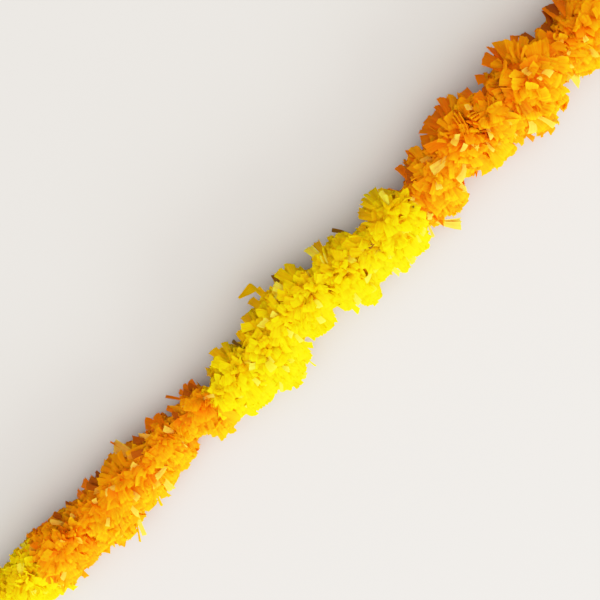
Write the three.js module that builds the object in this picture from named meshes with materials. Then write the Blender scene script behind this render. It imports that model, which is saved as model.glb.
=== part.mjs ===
// A marigold garland lying on a flat surface.
//
// Double marigold heads are pushed close together on one cotton thread, in runs
// of one colour: yellow, orange, yellow, orange. The thread goes in at the back
// of every head and out through the middle of its face, and a stopper knot at
// each end keeps the heads on. The garland lies along +X with +Z up. Each head
// is flattened a little underneath, where its petals rest on the surface z = 0.
//
// Every head is one solid, because a head grows as one piece. Its petals are the
// pleats of the rim. Two neighbouring heads meet in one shared, slightly cupped
// surface, and a narrow air gap is left along it. Lengths are in millimetres.

import * as THREE from 'three';

// ---------------------------------------------------------------- dimensions
const THREAD_D = 1.2;        // cotton thread
const BORE_R = 1.05;         // hole that the thread opens through a head
const GAP = 0.4;             // air between two neighbouring heads
const SEG = 20;              // points round a rim
const NOTCH = 0.72;          // radius of the waist between heads, over head radius
const END_HALF = 14;         // from an end head's middle to its end face
const PLEAT = 0.045;         // depth of a pleat over the rim radius
const REST = 0.86;           // middle of a head above the surface, over its radius
const CALYX_R = 6.5;         // green cup at the back of a head
const CALYX_L = 9;
const KNOT_L = 6.4;          // stopper knot
const KNOT_R = 2.7;
const END_GAP = 0.3;         // between a knot and what it touches

// One row for each head, from the left end: colour, its place along the garland,
// its sideways place, rim radius, how far its upper side leans to +X, and how far
// its upper side spreads over its neighbours (both as a slope).
const HEADS = [
  ['yellow', -362.0, -4.9, 26.0, 0.05, 0.00],
  ['yellow', -337.0, -5.6, 25.0, -0.10, 0.05],
  ['yellow', -307.3, -5.6, 26.7, 0.05, 0.10],
  ['orange', -277.8, -5.2, 26.5, 0.10, 0.05],
  ['orange', -250.6, -7.8, 25.1, -0.05, -0.10],
  ['orange', -227.3, -8.9, 27.9, 0.00, 0.00],
  ['orange', -200.2, -6.2, 26.1, -0.15, 0.50],
  ['orange', -175.9, -8.4, 25.2, 0.00, 0.00],
  ['orange', -149.6, -4.9, 23.5, 0.10, 0.00],
  ['orange', -128.6, -3.8, 21.0, 0.05, -0.10],
  ['orange', -110.3, -9.0, 25.8, -0.05, 0.10],
  ['yellow', -89.7, -9.7, 24.0, 0.05, -0.05],
  ['yellow', -68.7, -7.7, 29.6, 0.10, 0.10],
  ['yellow', -41.2, -10.2, 31.5, 0.00, 0.05],
  ['yellow', -19.5, -1.4, 27.5, -0.05, 0.10],
  ['yellow', 4.2, -1.8, 28.8, 0.05, 0.45],
  ['yellow', 34.1, -8.5, 30.6, 0.05, 0.05],
  ['yellow', 59.6, -9.9, 24.8, 0.00, -0.10],
  ['yellow', 87.6, -8.7, 29.3, 0.05, 0.55],
  ['orange', 108.2, -9.7, 23.6, 0.00, -0.15],
  ['orange', 127.2, -7.2, 27.5, -0.10, 0.05],
  ['orange', 153.2, -0.7, 28.5, -0.10, 0.60],
  ['orange', 175.4, -2.7, 28.2, 0.10, 0.00],
  ['orange', 193.5, -5.3, 26.6, 0.05, -0.20],
  ['orange', 215.7, -4.0, 33.2, 0.05, 0.60],
  ['orange', 241.9, -5.6, 24.4, 0.05, -0.10],
  ['orange', 259.7, -5.9, 27.8, 0.00, 0.10],
  ['orange', 281.5, -3.3, 27.0, 0.05, 0.00],
];

// ------------------------------------------------------------------- thread
// The thread crosses each shared surface at one knee. Its height follows the
// heads' radii, smoothed, because a pulled thread makes no sharp turn.
const N = HEADS.length;
const smooth = (get) => HEADS.map((h, i) => {
  const a = get(HEADS[Math.max(i - 1, 0)]);
  const b = get(h);
  const c = get(HEADS[Math.min(i + 1, N - 1)]);
  return (a + 2 * b + c) / 4;
});
const threadY = smooth((h) => h[2]);
const threadZ = smooth((h) => h[3] * REST);

const knees = [];
for (let j = 0; j <= N; j += 1) {
  const a = Math.max(j - 1, 0);
  const b = Math.min(j, N - 1);
  let x = (HEADS[a][1] + HEADS[b][1]) / 2;
  if (j === 0) x -= END_HALF;
  if (j === N) x += END_HALF;
  knees.push(new THREE.Vector3(x, (threadY[a] + threadY[b]) / 2, (threadZ[a] + threadZ[b]) / 2));
}
const kneeNormal = (j) => {
  const a = knees[Math.max(j - 1, 0)];
  const b = knees[Math.min(j + 1, N)];
  return new THREE.Vector3().subVectors(b, a).normalize();
};

class ThreadPath extends THREE.Curve {
  getPoint(t, target = new THREE.Vector3()) {
    const f = Math.min(t * N, N - 1e-9);
    const j = Math.floor(f);
    return target.lerpVectors(knees[j], knees[j + 1], f - j);
  }

  getPointAt(t, target) { return this.getPoint(t, target); }

  getTangentAt(t, target = new THREE.Vector3()) {
    return target.copy(kneeNormal(Math.round(t * N)));
  }
}

function disc(radius, sides) {
  const shape = new THREE.Shape();
  for (let k = 0; k < sides; k += 1) {
    const a = (2 * Math.PI * (k + 0.5)) / sides;
    if (k === 0) shape.moveTo(radius * Math.cos(a), radius * Math.sin(a));
    else shape.lineTo(radius * Math.cos(a), radius * Math.sin(a));
  }
  shape.closePath();
  return shape;
}

// --------------------------------------------------------- shared surfaces
// A surface between two heads is given over a rim angle and a radius. It leans
// by its slope, and it is cupped, because each head presses into the next.
const surfaces = knees.map((p, j) => {
  const left = HEADS[Math.max(j - 1, 0)];
  const right = HEADS[Math.min(j, N - 1)];
  const inner = j > 0 && j < N;
  const lean = inner ? (left[4] + right[4]) / 2 + (left[5] - right[5]) / 2 : 0;
  const turn = inner ? 0.10 * Math.sin(2.3 * j + 0.4) : 0;
  const cup = inner ? 2.0 + 1.6 * Math.sin(1.7 * j) : 0;
  const n = kneeNormal(j);
  const side = new THREE.Vector3(0, 1, 0).addScaledVector(n, -n.y).normalize();
  const up = new THREE.Vector3().crossVectors(n, side).normalize();
  return {
    p, n, side, up, lean, turn, cup,
    radius: NOTCH * Math.min(left[3], right[3]) * (inner ? 1 : 0.84),
    first: j === 0,
    last: j === N,
  };
});

function onSurface(s, rho, angle, offset) {
  const c = Math.cos(angle);
  const d = Math.sin(angle);
  let h = rho * (s.turn * c + s.lean * d) + s.cup * (rho / 28) ** 2 + offset;
  if (s.first) h += 5 * (rho / 28) ** 2 - (rho < CALYX_R + 0.1 ? CALYX_L : 0);
  if (s.last) h -= 7 * (rho / 28) ** 2;
  return s.p.clone()
    .addScaledVector(s.side, rho * c)
    .addScaledVector(s.up, rho * d)
    .addScaledVector(s.n, h);
}

// ------------------------------------------------------------------- heads
// Rings run from the hole, out over the left face, round the rim, in over the
// right face and back to the hole. The last ring joins the first through the
// hole's wall, so that a head is one closed ring-shaped body.
function head(i) {
  const [, x, y, R] = HEADS[i];
  const a = surfaces[i];
  const b = surfaces[i + 1];
  const middle = new THREE.Vector3().addVectors(a.p, b.p).multiplyScalar(0.5);
  const shift = new THREE.Vector3(0, y - middle.y, R * REST - middle.z);
  const inL = a.first ? CALYX_R : a.radius * 0.45;
  const rings = [
    { t: 0, rho: BORE_R },
    { t: 0, rho: inL },
    { t: 0, rho: a.radius },
    { t: 0.13, rho: R * 0.92, pleat: -1 },
    { t: 0.5, rho: R, pleat: 1 },
    { t: 0.87, rho: R * 0.92, pleat: -1 },
    { t: 1, rho: b.radius },
    { t: 1, rho: b.radius * 0.45 },
    { t: 1, rho: BORE_R },
  ];
  const positions = [];
  for (const ring of rings) {
    for (let k = 0; k < SEG; k += 1) {
      const angle = (2 * Math.PI * k) / SEG;
      const under = Math.max(0, -Math.sin(angle)) ** 2;     // 1 straight below
      const odd = k % 2 === 0 ? 1 : -1;
      const rim = ring.pleat ? ring.pleat * odd * PLEAT * (1 - under) : 0;
      const rho = ring.rho * (1 + rim);
      const left = onSurface(a, rho, angle, GAP / 2);
      const right = onSurface(b, rho, angle, -GAP / 2);
      const t = ring.pleat ? ring.t + 0.03 * odd * (1 - under) : ring.t;
      const p = left.lerp(right, t);
      const outer = Math.min(1, Math.max(0, (rho / R - 0.5) / 0.4));
      p.addScaledVector(shift, 4 * t * (1 - t) * outer);
      if (p.z < 0) p.z = 0;                                  // petals press flat
      positions.push(p.x, p.y, p.z);
    }
  }
  const index = [];
  for (let r = 0; r < rings.length; r += 1) {
    const next = (r + 1) % rings.length;
    for (let k = 0; k < SEG; k += 1) {
      const k2 = (k + 1) % SEG;
      const p00 = r * SEG + k;
      const p01 = r * SEG + k2;
      const p10 = next * SEG + k;
      const p11 = next * SEG + k2;
      index.push(p00, p01, p11, p00, p11, p10);
    }
  }
  const geometry = new THREE.BufferGeometry();
  geometry.setAttribute('position', new THREE.Float32BufferAttribute(positions, 3));
  geometry.setIndex(index);
  geometry.computeVertexNormals();
  return geometry;
}

// ------------------------------------------------------------ stopper knots
// Three turns of the thread pulled tight: a short barrel with three swellings.
function knot() {
  const profile = [new THREE.Vector2(0, 0)];
  const steps = 12;
  for (let k = 0; k <= steps; k += 1) {
    const t = k / steps;
    const turns = Math.abs(Math.sin(3 * Math.PI * (0.06 + 0.88 * t)));
    profile.push(new THREE.Vector2(KNOT_R * (0.62 + 0.38 * turns), KNOT_L * t));
  }
  profile.push(new THREE.Vector2(0, KNOT_L));
  return new THREE.LatheGeometry(profile, 14);
}

// ------------------------------------------------------------------ colours
const petal = {
  orange: new THREE.MeshStandardMaterial({ color: 0xff9c0a, roughness: 0.62, metalness: 0 }),
  yellow: new THREE.MeshStandardMaterial({ color: 0xf8de08, roughness: 0.62, metalness: 0 }),
};
const cotton = new THREE.MeshStandardMaterial({ color: 0xe9e2d2, roughness: 0.9, metalness: 0 });

// ----------------------------------------------------------------- assembly
const strung = new THREE.Group();
const count = { orange: 0, yellow: 0 };
HEADS.forEach((h, i) => {
  count[h[0]] += 1;
  const mesh = new THREE.Mesh(head(i), petal[h[0]]);
  mesh.name = `${h[0]}_marigold_${String(count[h[0]]).padStart(2, '0')}`;
  strung.add(mesh);
});

// The thread starts at the back of the first calyx and ends at the last face.
knees[0].x -= CALYX_L;
const thread = new THREE.Mesh(
  new THREE.ExtrudeGeometry(disc(THREAD_D / 2, 8), {
    steps: N, extrudePath: new ThreadPath(), bevelEnabled: false,
  }),
  cotton,
);
thread.name = 'thread';
strung.add(thread);

const endKnots = [
  ['end_knot_left', knees[0], kneeNormal(0).negate()],
  ['end_knot_right', knees[N], kneeNormal(N)],
];
for (const [name, at, outward] of endKnots) {
  const mesh = new THREE.Mesh(knot(), cotton);
  mesh.name = name;
  mesh.quaternion.setFromUnitVectors(new THREE.Vector3(0, 1, 0), outward);
  mesh.position.copy(at).addScaledVector(outward, END_GAP);
  strung.add(mesh);
}

// Origin: under the middle of the garland, on the surface it lies on.
strung.updateMatrixWorld(true);
const box = new THREE.Box3().setFromObject(strung, true);
strung.position.set(-(box.min.x + box.max.x) / 2, -(box.min.y + box.max.y) / 2, -box.min.z);

const garland = new THREE.Group();
garland.add(strung);
garland.updateMatrixWorld(true);

export default garland;
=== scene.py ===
import bpy
import math
import numpy as np
from mathutils import Matrix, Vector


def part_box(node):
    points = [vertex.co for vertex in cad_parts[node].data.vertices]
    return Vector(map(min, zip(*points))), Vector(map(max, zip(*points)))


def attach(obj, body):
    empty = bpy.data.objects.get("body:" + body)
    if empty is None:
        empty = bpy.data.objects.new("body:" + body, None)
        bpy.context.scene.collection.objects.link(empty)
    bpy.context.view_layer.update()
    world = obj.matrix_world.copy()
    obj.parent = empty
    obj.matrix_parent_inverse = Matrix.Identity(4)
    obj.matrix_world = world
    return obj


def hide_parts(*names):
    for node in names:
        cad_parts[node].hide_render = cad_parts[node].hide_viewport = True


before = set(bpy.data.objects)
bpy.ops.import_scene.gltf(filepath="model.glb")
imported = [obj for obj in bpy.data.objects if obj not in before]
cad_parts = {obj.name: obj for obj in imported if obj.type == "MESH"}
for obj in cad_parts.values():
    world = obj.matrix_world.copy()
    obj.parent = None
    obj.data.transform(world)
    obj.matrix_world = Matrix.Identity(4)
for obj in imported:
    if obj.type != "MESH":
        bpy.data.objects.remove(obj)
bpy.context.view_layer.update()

MM = 0.001
SHIFT = np.array([44.728, 6.116, 0.0])      # the garland's own line to the part's origin, mm

# ------------------------------------------------------------------ camera
# 50 mm lens on a 36 mm square frame, 0.60 m from the thread, turned so that
# the garland runs from the lower left corner to the upper right one.
TILT = math.radians(12.0)
DIST = 0.600
TARGET = np.array([44.728, 6.116, 26.0]) * MM
back = np.array([math.sin(TILT), 0.0, math.cos(TILT)])
e1 = np.array([math.cos(TILT), 0.0, -math.sin(TILT)])
e2 = np.array([0.0, 1.0, 0.0])
right = (e1 - e2) / math.sqrt(2)
up = (e1 + e2) / math.sqrt(2)
cam_data = bpy.data.cameras.new("camera")
cam_data.lens = 50.0
cam_data.sensor_width = 36.0
cam_data.sensor_height = 36.0
cam_data.sensor_fit = "HORIZONTAL"
cam_data.clip_start = 0.01
cam_data.clip_end = 20.0
cam = bpy.data.objects.new("camera", cam_data)
bpy.context.scene.collection.objects.link(cam)
eye = TARGET + DIST * back
m = np.eye(4)
m[:3, 0], m[:3, 1], m[:3, 2], m[:3, 3] = right, up, back, eye
cam.matrix_world = Matrix(m.tolist())
bpy.context.scene.camera = cam

# ---------------------------------------------------- the same layout as CAD
GAP, NOTCH, REST = 0.4, 0.72, 0.86
CALYX_R, CALYX_L, END_HALF = 6.5, 9.0, 14.0
HEADS = [
    # colour, along, sideways, radius, lean, spread
    ("yellow", -362.0, -4.9, 26.0, 0.05, 0.00),
    ("yellow", -337.0, -5.6, 25.0, -0.10, 0.05),
    ("yellow", -307.3, -5.6, 26.7, 0.05, 0.10),
    ("orange", -277.8, -5.2, 26.5, 0.10, 0.05),
    ("orange", -250.6, -7.8, 25.1, -0.05, -0.10),
    ("orange", -227.3, -8.9, 27.9, 0.00, 0.00),
    ("orange", -200.2, -6.2, 26.1, -0.15, 0.50),
    ("orange", -175.9, -8.4, 25.2, 0.00, 0.00),
    ("orange", -149.6, -4.9, 23.5, 0.10, 0.00),
    ("orange", -128.6, -3.8, 21.0, 0.05, -0.10),
    ("orange", -110.3, -9.0, 25.8, -0.05, 0.10),
    ("yellow", -89.7, -9.7, 24.0, 0.05, -0.05),
    ("yellow", -68.7, -7.7, 29.6, 0.10, 0.10),
    ("yellow", -41.2, -10.2, 31.5, 0.00, 0.05),
    ("yellow", -19.5, -1.4, 27.5, -0.05, 0.10),
    ("yellow", 4.2, -1.8, 28.8, 0.05, 0.45),
    ("yellow", 34.1, -8.5, 30.6, 0.05, 0.05),
    ("yellow", 59.6, -9.9, 24.8, 0.00, -0.10),
    ("yellow", 87.6, -8.7, 29.3, 0.05, 0.55),
    ("orange", 108.2, -9.7, 23.6, 0.00, -0.15),
    ("orange", 127.2, -7.2, 27.5, -0.10, 0.05),
    ("orange", 153.2, -0.7, 28.5, -0.10, 0.60),
    ("orange", 175.4, -2.7, 28.2, 0.10, 0.00),
    ("orange", 193.5, -5.3, 26.6, 0.05, -0.20),
    ("orange", 215.7, -4.0, 33.2, 0.05, 0.60),
    ("orange", 241.9, -5.6, 24.4, 0.05, -0.10),
    ("orange", 259.7, -5.9, 27.8, 0.00, 0.10),
    ("orange", 281.5, -3.3, 27.0, 0.05, 0.00),
]
N = len(HEADS)


def unit(v):
    v = np.asarray(v, float)
    return v / np.maximum(np.linalg.norm(v, axis=-1, keepdims=True), 1e-12)


def smoothed(values):
    v = np.asarray(values, float)
    a = np.concatenate([v[:1], v[:-1]])
    c = np.concatenate([v[1:], v[-1:]])
    return (a + 2 * v + c) / 4


thread_y = smoothed([h[2] for h in HEADS])
thread_z = smoothed([h[3] * REST for h in HEADS])
knees = np.zeros((N + 1, 3))
for j in range(N + 1):
    a, b = max(j - 1, 0), min(j, N - 1)
    x = (HEADS[a][1] + HEADS[b][1]) / 2
    x += -END_HALF if j == 0 else END_HALF if j == N else 0
    knees[j] = (x, (thread_y[a] + thread_y[b]) / 2, (thread_z[a] + thread_z[b]) / 2)


def knee_normal(j):
    return unit(knees[min(j + 1, N)] - knees[max(j - 1, 0)])


SURF = []
for j in range(N + 1):
    lh, rh = HEADS[max(j - 1, 0)], HEADS[min(j, N - 1)]
    inner = 0 < j < N
    n = knee_normal(j)
    side = unit(np.array([0, 1.0, 0]) - n * n[1])
    SURF.append(dict(
        p=knees[j].copy(), n=n, side=side, up=np.cross(n, side),
        lean=(lh[4] + rh[4]) / 2 + (lh[5] - rh[5]) / 2 if inner else 0.0,
        turn=0.10 * math.sin(2.3 * j + 0.4) if inner else 0.0,
        cup=2.0 + 1.6 * math.sin(1.7 * j) if inner else 0.0,
        first=j == 0, last=j == N))


def surface_gap(s, pts):
    """Signed distance along the thread from a shared surface to each point, and the radius."""
    q = pts - s["p"]
    u = q @ s["side"]
    v = q @ s["up"]
    rho = np.sqrt(u * u + v * v)
    h = s["turn"] * u + s["lean"] * v + s["cup"] * (rho / 28) ** 2
    if s["first"]:
        h = h + 5 * (rho / 28) ** 2
    if s["last"]:
        h = h - 7 * (rho / 28) ** 2
    return q @ s["n"] - h, rho


def on_surface(s, rho, angle):
    """Points on a shared surface, for arrays of radius and rim angle."""
    u = rho * np.cos(angle)
    v = rho * np.sin(angle)
    h = s["turn"] * u + s["lean"] * v + s["cup"] * (rho / 28) ** 2
    if s["first"]:
        h = h + 5 * (rho / 28) ** 2
    if s["last"]:
        h = h - 7 * (rho / 28) ** 2
    return s["p"] + u[:, None] * s["side"] + v[:, None] * s["up"] + h[:, None] * s["n"]


def in_head(i, place, rho, angle):
    """Points of head i: place runs from -1 at its left face to 1 at its right face."""
    _, _, y, R, _, _ = HEADS[i]
    a, b = SURF[i], SURF[i + 1]
    mid = (a["p"] + b["p"]) / 2
    t = (place + 1) / 2
    p = on_surface(a, rho, angle) * (1 - t)[:, None] + on_surface(b, rho, angle) * t[:, None]
    outer = np.clip((rho / R - 0.4) / 0.4, 0, 1)
    w = np.clip(1 - np.abs(place) ** 2 * 0.6, 0, 1) * outer
    p = p + w[:, None] * (np.array([mid[0], y, R * REST]) - mid)
    return p


# How far the flowers reach to the +Y and -Y sides of the garland's own line, every 6 mm.
EDGE_START, EDGE_STEP = -378.0, 6.0
EDGE_PLUS = [
    20.5, 20.5, 20.5, 20.5, 20.5, 18.5, 18.5, 18.5, 18.5, 18.5, 18.5, 20.5, 21, 20.5, 21, 20.5, 19.5, 21, 20.5,
    20, 18.5, 15, 16, 12.5, 16.5, 18, 19, 18.5, 15.5, 17.5, 19, 19, 19.5, 19.5, 18, 15, 13, 13,
    17.5, 17, 6.5, 9.5, 10.5, 10, 15.5, 15.5, 11.5, 5, 11, 13, 16, 21.5, 17.5, 14.5, 11.5, 16.5, 20,
    21, 21, 21.5, 22.5, 22.5, 25, 27, 26.5, 24.5, 21.5, 12, 23, 21, 17.5, 17, 16.5, 9.5, 8, 11.5,
    17.5, 18.5, 19, 16, 8.5, 7.5, 15, 17, 19.5, 19.5, 17.5, 22, 25.5, 25.5, 27, 29, 26, 21.5, 21.5,
    21.5, 21.5, 29, 29, 30, 29.5, 24, 19.5, 16, 15.5, 18, 21.5, 21, 21, 23, 23, 23, 23, 23,
]
EDGE_MINUS = [
    -30, -30, -30, -30, -30, -30, -30, -30, -30, -30, -28, -31, -32.5, -34, -33.5, -33.5, -33, -32.5, -32.5,
    -32, -31.5, -32, -34, -35, -37.5, -39, -37.5, -35.5, -34, -33, -32.5, -32, -35.5, -34, -33.5, -28, -29.5, -30.5,
    -29, -28.5, -24, -23.5, -22.5, -30, -35, -35.5, -33.5, -33.5, -35, -37, -37.5, -39, -40.5, -37.5, -42.5, -43, -43.5,
    -41, -39, -34.5, -31, -28.5, -30.5, -31.5, -31, -26.5, -28.5, -36, -39.5, -40.5, -39.5, -35, -33, -35, -37, -39,
    -37.5, -39, -38.5, -32.5, -31.5, -32, -37, -36, -35.5, -33.5, -28.5, -24, -25, -31, -32.5, -33.5, -33, -32.5, -32,
    -34.5, -38, -40.5, -38.5, -35, -35, -31, -26, -29, -30, -32.5, -25.5, -33, -33, -29.5, -29.5, -29.5, -29.5, -29.5,
]


def edges(x):
    """The garland's reach to both sides at places along it, in its own millimetres."""
    t = np.clip((x - EDGE_START) / EDGE_STEP, 0, len(EDGE_PLUS) - 1.001)
    k = t.astype(int)
    f = t - k
    p, q = np.array(EDGE_PLUS, float), np.array(EDGE_MINUS, float)
    return p[k] * (1 - f) + p[k + 1] * f, q[k] * (1 - f) + q[k + 1] * f


def envelope(i, place, angle):
    """Reach of head i's petals from its middle line, over the place along it and the rim angle."""
    _, _, y, R, _, _ = HEADS[i]
    a, b = SURF[i], SURF[i + 1]
    mid_y = (a["p"][1] + b["p"][1]) / 2
    at = in_head(i, place, np.full(len(place), 0.8 * R), angle)
    plus, minus = edges(at[:, 0])
    w = np.clip(1 - np.abs(place) ** 2 * 0.6, 0, 1)
    line = mid_y + w * (y - mid_y)
    rp = np.maximum(plus - line, 0.30 * R)
    rm = np.maximum(line - minus, 0.30 * R)
    top = R * np.clip(0.5 * (rp + rm) / R, 0.78, 1.0)
    c = np.cos(angle)
    rho = top + (np.where(c > 0, rp, rm) - top) * c * c
    if a["first"]:
        rho = rho * np.where(place < 0, np.sqrt(np.clip(1 - 0.62 * place ** 2, 0.05, 1)), 1)
    if b["last"]:
        rho = rho * np.where(place > 0, np.sqrt(np.clip(1 - 0.80 * place ** 2, 0.05, 1)), 1)
    return rho


# ---------------------------------------------------------------- materials
def node(nt, kind, **inputs):
    n = nt.nodes.new(kind)
    for key, value in inputs.items():
        if hasattr(n, key):
            setattr(n, key, value)
        else:
            n.inputs[key.replace("_", " ")].default_value = value
    return n


def petal_material(name, kind):
    """Petal tissue: own colour for each petal, fine veins along it, a deeper base, thin enough to glow."""
    mat = bpy.data.materials.new(name)
    mat.use_nodes = True
    nt = mat.node_tree
    nt.nodes.clear()
    link = nt.links.new
    out = nt.nodes.new("ShaderNodeOutputMaterial")
    tone = nt.nodes.new("ShaderNodeAttribute")
    tone.attribute_name = "tone"
    own = nt.nodes.new("ShaderNodeAttribute")
    own.attribute_name = "petal"
    sep = nt.nodes.new("ShaderNodeSeparateColor")
    link(own.outputs["Color"], sep.inputs["Color"])
    across, along, rand = sep.outputs[0], sep.outputs[1], sep.outputs[2]

    # veins: fine lines along the petal, gently wandering
    wander = nt.nodes.new("ShaderNodeTexNoise")
    wander.noise_dimensions = "3D"
    wander.inputs["Scale"].default_value = 190.0
    wander.inputs["Detail"].default_value = 3.0
    coords = nt.nodes.new("ShaderNodeTexCoord")
    link(coords.outputs["Object"], wander.inputs["Vector"])
    comb = nt.nodes.new("ShaderNodeCombineXYZ")
    scale_a = nt.nodes.new("ShaderNodeMath"); scale_a.operation = "MULTIPLY"
    scale_a.inputs[1].default_value = 17.0
    link(across, scale_a.inputs[0])
    scale_t = nt.nodes.new("ShaderNodeMath"); scale_t.operation = "MULTIPLY"
    scale_t.inputs[1].default_value = 1.6
    link(along, scale_t.inputs[0])
    scale_r = nt.nodes.new("ShaderNodeMath"); scale_r.operation = "MULTIPLY"
    scale_r.inputs[1].default_value = 57.0
    link(rand, scale_r.inputs[0])
    link(scale_a.outputs[0], comb.inputs[0])
    link(scale_t.outputs[0], comb.inputs[1])
    link(scale_r.outputs[0], comb.inputs[2])
    veins = nt.nodes.new("ShaderNodeTexNoise")
    veins.inputs["Scale"].default_value = 1.0
    veins.inputs["Detail"].default_value = 2.5
    veins.inputs["Roughness"].default_value = 0.6
    link(comb.outputs[0], veins.inputs["Vector"])

    ramp = nt.nodes.new("ShaderNodeMapRange")
    ramp.inputs["From Min"].default_value = 0.25
    ramp.inputs["From Max"].default_value = 0.8
    ramp.inputs["To Min"].default_value = 0.0
    ramp.inputs["To Max"].default_value = 1.0
    ramp.interpolation_type = "SMOOTHSTEP"
    link(along, ramp.inputs["Value"])
    deep = nt.nodes.new("ShaderNodeMix"); deep.data_type = "RGBA"
    deep.inputs["A"].default_value = (1, 1, 1, 1)
    base_mul = {"orange": (1.0, 1.06, 0.9, 1), "yellow": (1.0, 1.03, 0.9, 1)}[kind]
    basecol = nt.nodes.new("ShaderNodeMix"); basecol.data_type = "RGBA"
    basecol.inputs["A"].default_value = base_mul
    basecol.inputs["B"].default_value = (1, 1, 1, 1)
    link(ramp.outputs["Result"], basecol.inputs["Factor"])
    mul = nt.nodes.new("ShaderNodeMix"); mul.data_type = "RGBA"; mul.blend_type = "MULTIPLY"
    mul.inputs["Factor"].default_value = 1.0
    link(tone.outputs["Color"], mul.inputs["A"])
    link(basecol.outputs["Result"], mul.inputs["B"])

    veinmap = nt.nodes.new("ShaderNodeMapRange")
    veinmap.inputs["From Min"].default_value = 0.3
    veinmap.inputs["From Max"].default_value = 0.7
    veinmap.inputs["To Min"].default_value = 0.76
    veinmap.inputs["To Max"].default_value = 1.10
    link(veins.outputs["Fac"], veinmap.inputs["Value"])
    veincol = nt.nodes.new("ShaderNodeCombineColor")
    veincol.inputs[0].default_value = 1.0
    link(veinmap.outputs["Result"], veincol.inputs[1])
    link(veinmap.outputs["Result"], veincol.inputs[2])
    mul2 = nt.nodes.new("ShaderNodeMix"); mul2.data_type = "RGBA"; mul2.blend_type = "MULTIPLY"
    mul2.inputs["Factor"].default_value = 1.0
    link(mul.outputs["Result"], mul2.inputs["A"])
    link(veincol.outputs["Color"], mul2.inputs["B"])

    # paler and yellower along the cut end and the sides: partly thinner tissue, partly painted rim light
    off = nt.nodes.new("ShaderNodeMath"); off.operation = "MULTIPLY_ADD"
    off.inputs[1].default_value = 2.0
    off.inputs[2].default_value = -1.0
    link(across, off.inputs[0])
    away = nt.nodes.new("ShaderNodeMath"); away.operation = "ABSOLUTE"
    link(off.outputs[0], away.inputs[0])
    far = nt.nodes.new("ShaderNodeMath"); far.operation = "MAXIMUM"
    link(away.outputs[0], far.inputs[0])
    link(along, far.inputs[1])
    edge = nt.nodes.new("ShaderNodeMapRange")
    edge.inputs["From Min"].default_value = 0.86
    edge.inputs["From Max"].default_value = 1.0
    edge.interpolation_type = "SMOOTHSTEP"
    link(far.outputs[0], edge.inputs["Value"])
    rim_light_paler = nt.nodes.new("ShaderNodeMix"); rim_light_paler.data_type = "RGBA"
    rim_light_paler.inputs["A"].default_value = (1, 1, 1, 1)
    rim_light_paler.inputs["B"].default_value = {"orange": (1.0, 1.20, 1.25, 1), "yellow": (1.0, 1.08, 1.3, 1)}[kind]
    link(edge.outputs["Result"], rim_light_paler.inputs["Factor"])
    mul3 = nt.nodes.new("ShaderNodeMix"); mul3.data_type = "RGBA"; mul3.blend_type = "MULTIPLY"
    mul3.inputs["Factor"].default_value = 1.0
    link(mul2.outputs["Result"], mul3.inputs["A"])
    link(rim_light_paler.outputs["Result"], mul3.inputs["B"])

    bump = nt.nodes.new("ShaderNodeBump")
    bump.inputs["Strength"].default_value = 0.5
    bump.inputs["Distance"].default_value = 0.0006
    addh = nt.nodes.new("ShaderNodeMath"); addh.operation = "ADD"
    link(veins.outputs["Fac"], addh.inputs[0])
    link(wander.outputs["Fac"], addh.inputs[1])
    link(addh.outputs[0], bump.inputs["Height"])

    bsdf = nt.nodes.new("ShaderNodeBsdfPrincipled")
    bsdf.inputs["Roughness"].default_value = 0.62
    bsdf.inputs["Specular IOR Level"].default_value = 0.06
    link(mul3.outputs["Result"], bsdf.inputs["Base Color"])
    link(bump.outputs["Normal"], bsdf.inputs["Normal"])
    trans = nt.nodes.new("ShaderNodeBsdfTranslucent")
    link(mul3.outputs["Result"], trans.inputs["Color"])
    link(bump.outputs["Normal"], trans.inputs["Normal"])
    mix = nt.nodes.new("ShaderNodeMixShader")
    mix.inputs[0].default_value = 0.55
    link(bsdf.outputs[0], mix.inputs[1])
    link(trans.outputs[0], mix.inputs[2])
    link(mix.outputs[0], out.inputs["Surface"])
    return mat


def cotton_material():
    mat = bpy.data.materials.new("cotton_thread")
    mat.use_nodes = True
    nt = mat.node_tree
    bsdf = nt.nodes["Principled BSDF"]
    coords = nt.nodes.new("ShaderNodeTexCoord")
    noise = nt.nodes.new("ShaderNodeTexNoise")
    noise.inputs["Scale"].default_value = 1400.0
    noise.inputs["Detail"].default_value = 4.0
    nt.links.new(coords.outputs["Object"], noise.inputs["Vector"])
    mixc = nt.nodes.new("ShaderNodeMix"); mixc.data_type = "RGBA"
    mixc.inputs["A"].default_value = (0.62, 0.55, 0.42, 1)
    mixc.inputs["B"].default_value = (0.90, 0.86, 0.76, 1)
    nt.links.new(noise.outputs["Fac"], mixc.inputs["Factor"])
    nt.links.new(mixc.outputs["Result"], bsdf.inputs["Base Color"])
    bump = nt.nodes.new("ShaderNodeBump")
    bump.inputs["Strength"].default_value = 0.5
    bump.inputs["Distance"].default_value = 0.0002
    nt.links.new(noise.outputs["Fac"], bump.inputs["Height"])
    nt.links.new(bump.outputs["Normal"], bsdf.inputs["Normal"])
    bsdf.inputs["Roughness"].default_value = 0.9
    bsdf.inputs["Sheen Weight"].default_value = 0.3
    return mat


MATERIAL = {
    "orange": petal_material("orange_petal", "orange"),
    "yellow": petal_material("yellow_petal", "yellow"),
}
COTTON = cotton_material()


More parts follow.
